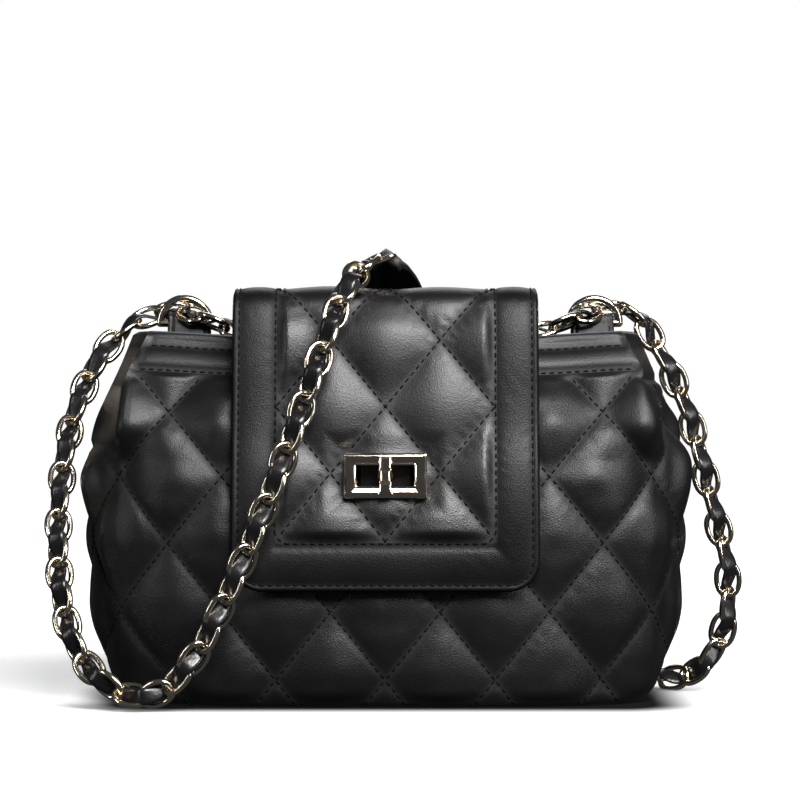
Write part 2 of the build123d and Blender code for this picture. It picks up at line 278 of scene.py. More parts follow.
# ---- mesh helpers -----------------------------------------------------------------------------
def mesh_object(name, points, faces, materials, face_materials=None, smooth=True):
    mesh = bpy.data.meshes.new(name)
    mesh.from_pydata([tuple(p) for p in np.asarray(points, float)], [], faces)
    for material in materials:
        mesh.materials.append(material)
    if face_materials is not None:
        mesh.polygons.foreach_set("material_index", np.asarray(face_materials, np.int32))
    mesh.polygons.foreach_set("use_smooth", np.full(len(mesh.polygons), smooth))
    mesh.update()
    obj = bpy.data.objects.new(name, mesh)
    bpy.context.scene.collection.objects.link(obj)
    return obj


def mark_seams(obj, closeness):
    """How close each point is to a stitched seam, 0 to 1, for the leather's gloss."""
    seam = obj.data.attributes.new("seam", "FLOAT", "POINT")
    seam.data.foreach_set("value", np.ascontiguousarray(closeness, np.float32))


def crisp(obj, degrees):
    """Smooth shading that stays sharp where faces meet at more than the given angle."""
    obj.data.set_sharp_from_angle(angle=math.radians(degrees))


def grid_faces(rows, columns, wrap=False, offset=0, keep=None):
    """Quads of a grid of rows x columns points, or only those whose first corner is kept."""
    faces = []
    last = columns if wrap else columns - 1
    for r in range(rows - 1):
        for c in range(last):
            if keep is None or keep[r, c]:
                d = (c + 1) % columns
                faces.append((offset + r * columns + c, offset + r * columns + d,
                              offset + (r + 1) * columns + d, offset + (r + 1) * columns + c))
    return faces


def closed_tube_faces(around, sides):
    """Quads of a tube that closes on itself: a loop of rings, each of the given sides."""
    return [(k * sides + j, k * sides + (j + 1) % sides,
             (k + 1) % around * sides + (j + 1) % sides, (k + 1) % around * sides + j)
            for k in range(around) for j in range(sides)]


def grid_object(name, grid, material, wrap=False):
    """A whole grid of points in mm as one object."""
    return mesh_object(name, grid.reshape(-1, 3) * MM, grid_faces(*grid.shape[:2], wrap), [material])


def grid_piece(name, grid, mask, seams, material, wrap=False, flip=False):
    """A piece of a larger grid in mm: the cells in the mask, and only the points they use."""
    faces = grid_faces(*grid.shape[:2], wrap, keep=mask)
    used = np.unique(np.array(faces))
    index = np.full(grid.shape[0] * grid.shape[1], -1)
    index[used] = np.arange(len(used))
    order = -1 if flip else 1
    piece = mesh_object(name, grid.reshape(-1, 3)[used] * MM,
                        [tuple(index[list(f)][::order]) for f in faces], [material])
    mark_seams(piece, seams.ravel()[used])
    return piece


def grid_normals(grid, wrap):
    """Unit normals of a grid of points, rows x columns x 3."""
    if wrap:
        across = np.roll(grid, -1, 1) - np.roll(grid, 1, 1)
    else:
        across = np.gradient(grid, axis=1)
    normal = np.cross(across, np.gradient(grid, axis=0))
    return normal / np.maximum(np.linalg.norm(normal, axis=2, keepdims=True), 1e-12)


def lengths(line):
    """Distance along a polyline at each of its points."""
    return np.concatenate([[0], np.cumsum(np.linalg.norm(np.diff(line, axis=0), axis=1))])


def sample_at(line, far, where):
    """Points of a polyline at the given distances along it."""
    return np.stack([np.interp(where, far, line[:, k]) for k in range(line.shape[1])], 1)


def resample(line, samples):
    far = lengths(line)
    return sample_at(line, far, np.linspace(0, far[-1], samples))


def spline(keys, samples):
    """A smooth centripetal curve through keys, sampled evenly by arc length."""
    keys = np.asarray(keys, float)
    ends = np.vstack([2 * keys[0] - keys[1], keys, 2 * keys[-1] - keys[-2]])
    t = np.linspace(0, 1, 40, endpoint=False)[:, None]
    pieces = []
    for four in zip(ends, ends[1:], ends[2:], ends[3:]):
        gaps = [max(np.linalg.norm(b - a), 1e-9) ** 0.5 for a, b in zip(four, four[1:])]
        knots = np.cumsum([0] + gaps)
        u = knots[1] + t * (knots[2] - knots[1])

        def between(i, j, p, q):
            return (knots[j] - u) / (knots[j] - knots[i]) * p + (u - knots[i]) / (knots[j] - knots[i]) * q

        first, second, third = (between(i, i + 1, four[i], four[i + 1]) for i in range(3))
        pieces.append(between(1, 2, between(0, 2, first, second), between(1, 3, second, third)))
    return resample(np.vstack([*pieces, keys[-1:]]), samples)


def smooth_step(value, low, high):
    t = np.clip((value - low) / (high - low), 0, 1)
    return t * t * (3 - 2 * t)


def waves(seed, x, y, wavelength, count=10):
    """Smooth seeded unevenness, about -1 to 1: a sum of plane waves."""
    source = np.random.default_rng(seed)
    total = np.zeros_like(x)
    for _ in range(count):
        angle, phase = source.uniform(0, 2 * math.pi, 2)
        size = wavelength * source.uniform(0.7, 1.5)
        total += np.sin(2 * math.pi / size * (x * math.cos(angle) + y * math.sin(angle)) + phase)
    return total / math.sqrt(count)


# ---- quilting ---------------------------------------------------------------------------------
DIAMOND_W, DIAMOND_H = 44.4, 55.4
LINE_GAP = DIAMOND_W * DIAMOND_H / math.hypot(DIAMOND_W, DIAMOND_H)
LINE_RUN = 38              # about how far a line runs across one diamond
FULLNESS = 0.72            # under 1, the diamonds stay full nearly to their seams
PUCKER_PITCH = 6.5


def ripple(x, middle, width):
    """A soft bump of height 1 about middle, falling off over the given width."""
    return np.exp(-((x - middle) / width) ** 2)


def quilt_distances(s, t):
    """Distance in mm to the nearest stitched line of each slanting family."""
    a, b = s / DIAMOND_W + t / DIAMOND_H, s / DIAMOND_W - t / DIAMOND_H
    return np.abs(a - np.round(a)) * LINE_GAP, np.abs(b - np.round(b)) * LINE_GAP


def pillow(s, t, height, seed):
    """Height of the padded diamonds over their stitched lines, with puckers beside the lines."""
    da, db = quilt_distances(s, t)
    rise = (np.sin(math.pi * da / LINE_GAP) * np.sin(math.pi * db / LINE_GAP)) ** FULLNESS
    along = np.where(da < db, s / DIAMOND_W - t / DIAMOND_H, s / DIAMOND_W + t / DIAMOND_H) * LINE_RUN
    pucker = np.sin(along * 2 * math.pi / PUCKER_PITCH + 2.5 * waves(seed, s, t, 30))
    pucker *= ripple(np.minimum(da, db), 3.2, 2.4) * 0.32 * (1 + waves(seed + 1, s, t, 45))
    return height * (rise + 0.05 * waves(seed + 2, s, t, 16) * rise) + 0.17 * pucker


# ---- body shell -------------------------------------------------------------------------------
# Side view of the stuffed body: half width, half depth and height, from under the base up.
PROFILE = [
    (64, 0.6, 0.9), (84, 20, 0.5), (106, 41.5, 0.2), (110.5, 45.3, 0.7), (113, 47, 4.0),
    (115.3, 48, 11), (120.5, 49.3, 30), (123, 50, 60), (125.5, 47.4, 92), (123.5, 42.6, 111),
    (117, 34.2, 130), (107.5, 24, 150),
]
SHELL_INSET = 2.6          # the stitched lines lie this far inside the body's outline
QUILT_H = 4.6
SMOOTH_RISE = 1.9          # the smooth leather stands this far out from the stitched lines
LOWEST_LEATHER = 0.05
BAND_Z = 136.0             # the smooth band starts here on the front and back
TOP_STITCH_Z = 146.8
LEFT_WING_Z, RIGHT_WING_Z = 105.0, 133.0     # the smooth gusset tops start here
CROSSING_Z = 66.6          # two quilting lines cross here at the middle of the front
# The turned top edge: how much further in than the wall, along x and y, and how far above it.
LIP = [(0.2, 0.2, 0.9), (1.2, 1.2, 1.5), (2.4, 2.4, 0.9), (2.7, 2.7, -1.0), (2.7, 2.7, -5.0),
       (1.9, 1.6, -12.0)]
FRONT_COLUMNS, SIDE_COLUMNS, WALL_ROWS = 96, 40, 176
QUARTER = FRONT_COLUMNS + SIDE_COLUMNS
BASE_ROWS = 20             # rows that lie under the base
DROOP_HALF_W = 98          # the top edge hangs between corners this far to each side


def crease_x(z):
    """Where the front panel turns into the gusset."""
    return np.interp(z, [0, 60, 105, 128, 150], [100, 107, 108.5, 106.5, 100.5])


def quarter(w, d, z):
    """From the middle of the front to the middle of the side at one height."""
    power = np.interp(z, [0, 40, 100, 150], [3.2, 3.4, 3.4, 4.5])
    turn = np.linspace(0, math.pi / 2, 500)
    stuffed = resample(np.stack([w * np.sin(turn) ** (2 / power), -d * np.cos(turn) ** (2 / power)], 1), 400)
    crease = min(crease_x(z), w * 0.93)
    folded = resample(np.array([[0, -d], [crease * 0.6, -d * 0.995], [crease - 3, -d * 0.95],
                                [crease, -d * 0.925], [crease + (w - crease) * 0.35, -d * 0.56],
                                [w, 0]]), 400)
    mix = smooth_step(z, 98, 116)
    return stuffed * (1 - mix) + folded * mix, crease


def all_round(values):
    """Values of the right front quarter, mirrored round the right back, left back and left front."""
    return np.concatenate([values, values[::-1][1:], values[1:], values[::-1][1:-1]])


def ring_of(w, d, z):
    """One closed row of points round the body, how far round each is, and whether it is on a side."""
    line, crease = quarter(w, d, z)
    far = lengths(line)
    split = np.interp(crease, line[:, 0], far)
    at = np.concatenate([np.linspace(0, split, FRONT_COLUMNS, endpoint=False),
                         np.linspace(split, far[-1], SIDE_COLUMNS + 1)])
    x, y = np.interp(at, far, line[:, 0]), np.interp(at, far, line[:, 1])
    ring = np.stack([all_round(x), all_round(y)], 1)
    ring[2 * QUARTER + 1:, 0] *= -1
    ring[QUARTER + 1:3 * QUARTER + 1, 1] *= -1
    return ring, all_round(at), all_round(at >= split - 1e-6)


def body_grid():
    """The body's stitched surface, each point's quilting coordinates, and its rows' heights."""
    wide, deep, high = PROFILE[-1]
    wall = spline(PROFILE, WALL_ROWS)
    wall[:, 0] = np.maximum(wall[:, 0] - SHELL_INSET, 1)
    wall[:, 1] = np.maximum(wall[:, 1] - SHELL_INSET, 0.5)
    rows = np.vstack([wall, [(wide - SHELL_INSET - dx, deep - SHELL_INSET - dy, high + dz)
                             for dx, dy, dz in LIP]])
    rings = [ring_of(*row) for row in rows]
    grid = np.array([np.column_stack([r[0], np.full(len(r[0]), z)])
                     for r, z in zip(rings, rows[:, 2])])
    s, side = (np.array([r[k] for r in rings]) for k in (1, 2))
    climb = lengths(rows[:, 1:])
    crossing = np.interp(CROSSING_Z, wall[BASE_ROWS:, 2], climb[BASE_ROWS:WALL_ROWS])
    t = np.repeat((climb - crossing)[:, None], grid.shape[1], 1)
    return grid, s, t, side, wall[:, 2]


def wing_heights(grid):
    return np.where(grid[:, :, 0] < 0, LEFT_WING_Z, RIGHT_WING_Z)


def body_relief(grid, s, t, side):
    """How far each point stands out from the stitched shell."""
    z = grid[:, :, 2]
    row = np.arange(len(z))[:, None]
    on_wall = row < WALL_ROWS
    wing_z = wing_heights(grid)
    limit = np.where(side, wing_z, BAND_Z)
    quilted = 1 - smooth_step(z, limit - np.where(side, 15, 2.6), limit - 0.4)
    quilted = np.where(on_wall, quilted, 0)
    quilted *= smooth_step(z + np.where(row < 30, 0, 10), 0.5, 6) * 0.75 + 0.25
    pulled_tight = 0.68 + 0.32 * smooth_step(z, 45, 105)
    relief = pillow(s, t, QUILT_H, 11) * quilted * pulled_tight
    band_groove = ripple(z, BAND_Z + 1, 1.6) + ripple(z, TOP_STITCH_Z, 1.3) * 0.5
    groove = np.where(side, ripple(z, wing_z, 1.6) * 1.3, band_groove)
    puff = 0.9 * np.sin(math.pi * np.clip((z - BAND_Z - 1) / (TOP_STITCH_Z - BAND_Z - 1), 0, 1))
    smooth_part = (1 - quilted) * SMOOTH_RISE + np.where(side, 0, puff) - groove * (z > limit - 4)
    relief += np.where(on_wall, smooth_part, SMOOTH_RISE)
    past_crease = s - s[:, FRONT_COLUMNS:FRONT_COLUMNS + 1]
    relief += ripple(past_crease, 0, 0.9) * 1.3 * smooth_step(z, wing_z - 4, wing_z + 3) * on_wall
    sag = waves(31, s, t, 85) * 0.8 + waves(37, s, t, 38) * 0.35
    folds = waves(41, s * 1.6, t * 0.6, 26) * 0.7 * smooth_step(past_crease, 0, 14)
    folds *= 1 - smooth_step(z, wing_z - 14, wing_z)
    return relief + (sag + folds) * on_wall


def body_seams(grid, s, t, side):
    """Closeness of each point to the quilting lines, or to the stitching of the band and wings."""
    z = grid[:, :, 2]
    limit = np.where(side, wing_heights(grid), BAND_Z)
    quilting = ripple(np.minimum(*quilt_distances(s, t)), 0, 1.7) * (z < limit)
    return np.clip(quilting + ripple(z, limit + 0.8, 1.5) + 0.8 * ripple(z, TOP_STITCH_Z, 1.1), 0, 1)


def droop(points, front_drop=4.6, back_drop=2.0):
    """How far the top edge hangs between its corners."""
    x, y, z = points[..., 0], points[..., 1], points[..., 2]
    deep = np.where(y < 0, front_drop, back_drop)
    arch = np.cos(np.clip(np.abs(x) / DROOP_HALF_W, 0, 1) * math.pi / 2) ** 1.3
    return deep * arch * smooth_step(z, 60, 150)


def add_body():
    """The quilted shell, and the smooth bands and wings above it, cut from one grid."""
    grid, s, t, side, heights = body_grid()
    relief = body_relief(grid, s, t, side)
    near_floor = np.maximum(smooth_step(grid[:, :, 2], 0.3, 7), 0.25)
    moved = grid + grid_normals(grid, True) * relief[..., None] * near_floor[..., None]
    moved[:, :, 2] -= droop(grid)
    moved[:, :, 2] = np.maximum(moved[:, :, 2], LOWEST_LEATHER)
    x, y, z = (grid[:-1, :, k] for k in range(3))
    lip = np.arange(len(z))[:, None] >= WALL_ROWS - 1
    cell_side = side[:-1] & np.roll(side, -1, 1)[:-1]
    wing = cell_side & ((z >= wing_heights(grid)[:-1]) | lip)
    band = ~cell_side & ((z >= BAND_Z) | lip)
    seams = body_seams(grid, s, t, side)
    shell = grid_piece("quilted_shell", moved, ~wing & ~band, seams, LAMBSKIN, wrap=True)
    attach(shell, "bag")
    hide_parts("front_panel", "back_panel", "left_gusset", "right_gusset", "base_panel",
                "front_padding", "back_padding")
    for node, mask, material in (("front_band", band & (y < 0), SMOOTH),
                                 ("back_band", band & (y >= 0), SMOOTH),
                                 ("right_wing", wing & (x > 0), WING_LAMBSKIN_PAINTED_DARK),
                                 ("left_wing", wing & (x < 0), WING_LAMBSKIN_PAINTED_DARK)):
        piece = grid_piece(node + "_leather", moved, mask, seams, material, wrap=True)
        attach(piece, "bag")
        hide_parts(node)
    return moved, s, t, heights


# ---- stitches ---------------------------------------------------------------------------------
STITCH_PITCH, STITCH_LENGTH, STITCH_R = 3.4, 2.3, 0.33
STITCH_SINK = 0.12         # how deep a stitch is pressed into the leather
STITCH_SIDES = 6
# Along one stitch: place as a share of its length, thickness as a share of its radius, and height.
STITCH_SHAPE = [(-0.5, 0.35, -0.22), (-0.3, 1, 0), (0.3, 1, 0), (0.5, 0.35, -0.22)]
LOWEST_STITCH = 0.02


def surface_at(grid, rows, columns, wrap=False):
    """Points of a grid at fractional rows and columns."""
    rows = np.clip(np.asarray(rows, float), 0, len(grid) - 1.001)
    columns = np.asarray(columns, float)
    count = grid.shape[1]
    columns = columns % count if wrap else np.clip(columns, 0, count - 1.001)
    r, c = rows.astype(int), columns.astype(int)
    u, v = (rows - r)[:, None], (columns - c)[:, None]
    c2, r2 = (c + 1) % count, r + 1
    return ((1 - u) * ((1 - v) * grid[r, c] + v * grid[r, c2])
            + u * ((1 - v) * grid[r2, c] + v * grid[r2, c2]))


class Stitches:
    """Gathers short rounded thread stitches into one mesh."""

    def __init__(self):
        self.points, self.faces = [], []

    def add_line(self, points, normals):
        """Stitches evenly along a polyline of surface points, in mm."""
        far = lengths(points)
        if far[-1] < STITCH_PITCH:
            return
        count = int(far[-1] / STITCH_PITCH)
        middles = (np.arange(count) + 0.5) * far[-1] / count
        centre = sample_at(points, far, middles)
        ahead = (sample_at(points, far, middles + STITCH_LENGTH / 2)
                 - sample_at(points, far, middles - STITCH_LENGTH / 2))
        normal = sample_at(normals, far, middles)
        for c, d, n in zip(centre, ahead, normal):
            size = np.linalg.norm(d)
            if size > 0.3 * STITCH_LENGTH:
                self.add(c + n * (STITCH_R - STITCH_SINK), d / size, n)

    def add(self, centre, along, normal):
        normal = normal - along * np.dot(normal, along)
        normal /= max(np.linalg.norm(normal), 1e-9)
        across = np.cross(along, normal)
        base, sides = len(self.points), STITCH_SIDES
        for end, thickness, dip in STITCH_SHAPE:
            for k in range(sides):
                turn = 2 * math.pi * k / sides
                outward = across * math.cos(turn) + normal * math.sin(turn)
                self.points.append(centre + along * end * STITCH_LENGTH + normal * dip
                                   + STITCH_R * thickness * outward)
        self.faces += grid_faces(len(STITCH_SHAPE), sides, True, base)
        self.faces.append(tuple(base + k for k in range(sides))[::-1])
        self.faces.append(tuple(base + 3 * sides + k for k in range(sides)))

    def build(self, name):
        points = np.array(self.points)
        points[:, 2] = np.maximum(points[:, 2], LOWEST_STITCH)
        return mesh_object(name, points * MM, self.faces, [THREAD])


def quilt_lines(low_s, high_s, low_t, high_t, width, height):
    """Every slanting quilt line inside a rectangle of (s, t), as arrays of samples."""
    found = []
    for slant in (1, -1):
        corners = [s / width + slant * t / height for s in (low_s, high_s) for t in (low_t, high_t)]
        for n in range(math.ceil(min(corners)), math.floor(max(corners)) + 1):
            t = np.linspace(low_t, high_t, 400)
            s = width * (n - slant * t / height)
            inside = (s > low_s) & (s < high_s)
            if inside.sum() > 4:
                found.append((s[inside], t[inside]))
    return found


def round_columns(column):
    """The same place on each quarter of the body, as columns of its grid."""
    return column, 2 * QUARTER - column, 2 * QUARTER + column, 4 * QUARTER - column


def add_body_stitches(grid, s, t, heights):
    normals = grid_normals(grid, True)
    stitches = Stitches()
    row_numbers = np.arange(WALL_ROWS)
    row_t, row_s = t[:WALL_ROWS, 0], s[:, :QUARTER + 1]

    def lay(rows, columns):
        stitches.add_line(surface_at(grid, rows, columns, True),
                          surface_at(normals, rows, columns, True))

    def column_of(row, value):
        low = int(row)
        line = row_s[low] + (row_s[low + 1] - row_s[low]) * (row - low)
        return np.interp(value, line, np.arange(QUARTER + 1)), line[-1]

    for line_s, line_t in quilt_lines(0, 190, row_t[12], row_t[-1], DIAMOND_W, DIAMOND_H):
        rows = np.interp(line_t, row_t, row_numbers)
        height = np.interp(rows, row_numbers, heights)
        column, reach = np.array([column_of(r, v) for r, v in zip(rows, line_s)]).T
        wings = (RIGHT_WING_Z, RIGHT_WING_Z, LEFT_WING_Z, LEFT_WING_Z)
        for around, wing in zip(round_columns(column), wings):
            top = np.where(column > FRONT_COLUMNS, wing, BAND_Z) - 1.5
            for part in split_runs((line_s < reach) & (height < top)):
                lay(rows[part], around[part])
    edge = np.arange(0, FRONT_COLUMNS - 1.5, 0.5)
    for z in (BAND_Z + 1.0, TOP_STITCH_Z):
        for around in round_columns(edge):
            lay(np.full(len(edge), np.interp(z, heights, row_numbers)), around)
    piece = stitches.build("body_stitches")
    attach(piece, "bag")


def split_runs(mask):
    """Index arrays of each unbroken run of True."""
    runs, index = [], np.flatnonzero(mask)
    if len(index) == 0:
        return runs
    for run in np.split(index, np.flatnonzero(np.diff(index) > 1) + 1):
        if len(run) > 6:
            runs.append(run)
    return runs


# ---- lining, pocket and stiffener -------------------------------------------------------------
LINING_PROFILE = [
    (60, 0.4, 6.6), (96, 29, 6.7), (105, 36.5, 8.5), (110.5, 40, 15), (114.6, 42.6, 34),
    (116.6, 43.4, 60), (119, 40.8, 92), (117, 36.0, 111), (110.5, 27.6, 130), (102.2, 18.3, 148.6),
]
LINING_T = 0.8
# The board under the lining: half width, half depth and height round its section.
STIFFENER = [(1, 0.5, 4.2), (98, 34, 4.2), (98.8, 34.8, 4.5), (98.8, 34.8, 5.5), (98, 34, 5.8),
             (1, 0.5, 5.8)]
POCKET_HALF_W, POCKET_LOW, POCKET_HIGH, POCKET_GAP = 65.0, 58.0, 118.0, 2.4


def ring_rows(rows):
    return np.array([np.column_stack([ring_of(w, d, z)[0], np.full(4 * QUARTER, z)])
                     for w, d, z in rows])


def add_lining():
    rows = spline(LINING_PROFILE, 60)
    inner = rows[::-1] - [LINING_T, LINING_T, 0]
    inner[:, :2] = np.maximum(inner[:, :2], 0.3)
    inner[:, 2] += np.where(inner[:, 2] < 12, LINING_T, 0)
    grid = ring_rows(np.vstack([rows, inner]))
    wrinkle = waves(53, grid[:, :, 0] + grid[:, :, 1], grid[:, :, 2], 42) * 0.175
    grid += grid_normals(grid, True) * wrinkle[..., None]
    grid[:, :, 2] -= droop(grid)
    piece = grid_object("fabric_lining", grid, LINING, wrap=True)
    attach(piece, "bag")
    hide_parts("lining")
    add_pocket(rows)


def add_stiffener():
    """The thin board that keeps the base flat, under the lining."""
    piece = grid_object("base_stiffener", ring_rows(STIFFENER), BOARD, wrap=True)
    crisp(piece, 32)
    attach(piece, "bag")
    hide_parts("base_board")


def add_pocket(rows):
    """A slip pocket on the back of the lining: a fabric face standing a little off it."""
    heights = np.concatenate([[POCKET_LOW - 1.5], np.linspace(POCKET_LOW, POCKET_HIGH, 40)])
    x = np.concatenate([[-POCKET_HALF_W - 1.5], np.linspace(-POCKET_HALF_W, POCKET_HALF_W, 70),
                        [POCKET_HALF_W + 1.5]])
    walls = rows[10:]
    width, depth = (np.interp(heights, walls[:, 2], walls[:, k]) for k in (0, 1))
    wall = []
    for z, w, d in zip(heights, width, depth):
        line = quarter(w - LINING_T, d - LINING_T, z)[0]
        y = np.interp(np.abs(x), line[:, 0], -line[:, 1])
        wall.append(np.column_stack([x, y, np.full(len(x), z)]))
    wall = np.array(wall)
    stand = np.full(wall.shape[:2], POCKET_GAP)
    stand[0], stand[:, 0], stand[:, -1] = 0.1, 0.1, 0.1
    stand += (smooth_step(wall[:, :, 2], 95, POCKET_HIGH)
              * np.cos(wall[:, :, 0] / POCKET_HALF_W * math.pi / 2).clip(0) * 2.0)
    outer = wall.copy()
    outer[:, :, 1] -= stand
    inner = outer.copy()
    inner[:, :, 1] += 0.5
    sheet = np.concatenate([outer, inner[::-1]])
    sheet[:, :, 2] -= droop(sheet)
    piece = grid_object("inner_slip_pocket", sheet, LINING)
    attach(piece, "bag")
    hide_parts("slip_pocket")


# ---- flap -------------------------------------------------------------------------------------
# Side view (y, z) of the flap's stitched surface, from its seam behind, over the top, down the front.
FLAP_SIDE = [
    (32.6, 131), (31.0, 141), (28.6, 150), (23.5, 157.4), (12, 162.4), (-4, 166.6), (-20, 169.2),
    (-31, 169.8), (-38.4, 166.0), (-42.4, 157), (-45.2, 143), (-47.6, 126), (-50.0, 112),
    (-53.2, 98), (-55.3, 82), (-56.0, 64), (-55.4, 47.4),
]
FLAP_HALF_W, FLAP_CORNER = 62.3, 12.5
FIELD_HALF_W, FIELD_LOW_Z, FIELD_CORNER = 44.6, 66.9, 6.0
BORDER_W = 17.4
FLAP_DIAMOND_W, FLAP_DIAMOND_H = 44.3, 54.7
FLAP_LINE_GAP = FLAP_DIAMOND_W * FLAP_DIAMOND_H / math.hypot(FLAP_DIAMOND_W, FLAP_DIAMOND_H)
FLAP_QUILT_H, FLAP_FULLNESS = 3.3, 0.78
FLAP_PUCKER_PITCH = 6.0
FLAP_LEATHER_T = 1.9       # from the stitched surface in to the flap's underside
FLAP_CROSSING_Z = 122.0    # two quilting lines cross here at the middle of the flap
EDGE_STITCH = 2.9          # from the flap's edge to its outer stitching
EDGE_ROLL = 1.5            # the edge turns under over this width
LOCK_Z = 94.3
LOCK_CLEAR = (17.6, 10.2)  # the quilting stitches stop this far from the lock's middle
DENT_HALF, DENT_UP, DENT_DEPTH = (17.5, 10), -27.6, 1.6     # where the lock presses the padding down
WINDOW_HALF = (12.6, 5.6)
FLAP_ROWS, FLAP_COLUMNS, CORNER_ROWS = 210, 121, 13
FRONT_ROWS = 90            # rows of the grid that are surely on the flap's front
SEWN_ROW = -24             # the inner and outer stitching end at this row, behind


def flap_grid():
    """The flap's stitched surface with each point's x, distance up the front and edge distance."""
    side = spline(FLAP_SIDE, 800)
    far = lengths(side)
    up = far[-1] - far                      # arc length from the bottom edge
    near = FLAP_CORNER * (1 - np.cos(np.linspace(0, math.pi / 2, CORNER_ROWS + 1)))
    v = np.concatenate([near[:-1], np.linspace(FLAP_CORNER, far[-1], FLAP_ROWS - CORNER_ROWS)])
    y, z = (np.interp(v, up[::-1], side[::-1, k]) for k in (0, 1))
    short = FLAP_CORNER - np.sqrt(np.maximum(FLAP_CORNER**2 - np.maximum(FLAP_CORNER - v, 0) ** 2, 0))
    half = FLAP_HALF_W - short
    u = np.linspace(-1, 1, FLAP_COLUMNS)
    u = np.sign(u) * (1 - (1 - np.abs(u)) ** 1.12)
    x = u[None, :] * half[:, None]
    grid = np.stack([x, np.repeat(y[:, None], len(u), 1), np.repeat(z[:, None], len(u), 1)], 2)
    up_grid = np.repeat(v[:, None], len(u), 1)
    corner_x = FLAP_HALF_W - FLAP_CORNER
    in_corner = (np.abs(x) > corner_x) & (up_grid < FLAP_CORNER)
    to_corner = FLAP_CORNER - np.hypot(np.abs(x) - corner_x, up_grid - FLAP_CORNER)
    edge = np.where(in_corner, to_corner, np.minimum(FLAP_HALF_W - np.abs(x), up_grid))
    return grid, x, up_grid, np.maximum(edge, 0)


def flap_relief(x, up, edge, zero_up, field_up):
    """How far each point stands out: the padded field, the border, and the dent under the lock."""
    t = up - zero_up
    a, b, da, db = flap_lines(x, t)
    rise = (np.sin(math.pi * da / FLAP_LINE_GAP) * np.sin(math.pi * db / FLAP_LINE_GAP)) ** FLAP_FULLNESS
    to_frame = frame_distance(x, up, field_up)
    near_line = np.minimum(da, db)
    by_side = FIELD_HALF_W - np.abs(x) < up - field_up
    along = np.where(np.abs(to_frame) < near_line, np.where(by_side, t, x),
                     np.where(da < db, b, a) * LINE_RUN)
    pucker = np.sin(along * 2 * math.pi / FLAP_PUCKER_PITCH + 2.5 * waves(61, x, t, 30))
    pucker *= ripple(np.minimum(near_line, np.abs(to_frame)), 2.6, 1.9) * 0.08
    pucker *= (1 + 0.7 * waves(62, x, t, 45)) * np.where(to_frame > 0, 1, 0.45)
    flatten = 1 - 0.6 * smooth_step(t, 30, 50)
    field = FLAP_QUILT_H * rise * smooth_step(to_frame, 0, 5) * flatten
    across_border = np.clip((edge - EDGE_STITCH) / (BORDER_W - EDGE_STITCH), 0, 1)
    border = 1.1 * np.sin(across_border * math.pi) ** 0.5 + 0.7 * ripple(edge, 1.2, 1.1)
    relief = np.where(to_frame > 0, field, border) + pucker * (edge > EDGE_ROLL)
    lock = np.maximum(np.abs(x) - DENT_HALF[0], np.abs(t - DENT_UP) - DENT_HALF[1])
    relief -= DENT_DEPTH * (1 - smooth_step(lock, -2, 8)) * (to_frame > 0)
    return relief + 0.18 * waves(63, x, t, 55)


def frame_distance(x, up, field_up):
    """Distance inside the quilted field's rounded outline; negative outside it."""
    in_x, in_up = FIELD_HALF_W - np.abs(x), up - field_up
    cut = np.hypot(FIELD_CORNER - in_x, FIELD_CORNER - in_up)
    rounded = (in_x < FIELD_CORNER) & (in_up < FIELD_CORNER)
    return np.where(rounded, FIELD_CORNER - cut, np.minimum(in_x, in_up))


def flap_lines(x, t):
    """Each slanting family's count at a point, and the distance to its nearest line."""
    a, b = x / FLAP_DIAMOND_W + t / FLAP_DIAMOND_H, x / FLAP_DIAMOND_W - t / FLAP_DIAMOND_H
    return a, b, np.abs(a - np.round(a)) * FLAP_LINE_GAP, np.abs(b - np.round(b)) * FLAP_LINE_GAP


def flap_seams(x, up, edge, zero_up, field_up):
    """Closeness of each point on the flap to a stitched seam."""
    inside = frame_distance(x, up, field_up)
    near_line = np.minimum(*flap_lines(x, up - zero_up)[2:])
    return np.clip(ripple(near_line, 0, 1.6) * (inside > 0) + ripple(inside, 0, 1.6)
                   + 0.8 * ripple(edge, EDGE_STITCH, 1.2), 0, 1)


def flap_normals(grid):
    """Unit normals of the flap's surface, away from the purse."""
    normal = -grid_normals(grid, False)
    return normal * -np.sign(normal[5, FLAP_COLUMNS // 2, 1])


def turned_edges(top, under):
    """The top surface with one more ring of points, turned under at the sides and the bottom."""
    narrower = [0.975, 1, 1]
    turned = np.concatenate([under[:, :1] * narrower, top, under[:, -1:] * narrower], 1)
    first = under[:1] + [0, 0, 1.6]
    first = np.concatenate([first[:, :1], first, first[:, -1:]], 1) * [0.97, 1, 1]
    return np.concatenate([first, turned])


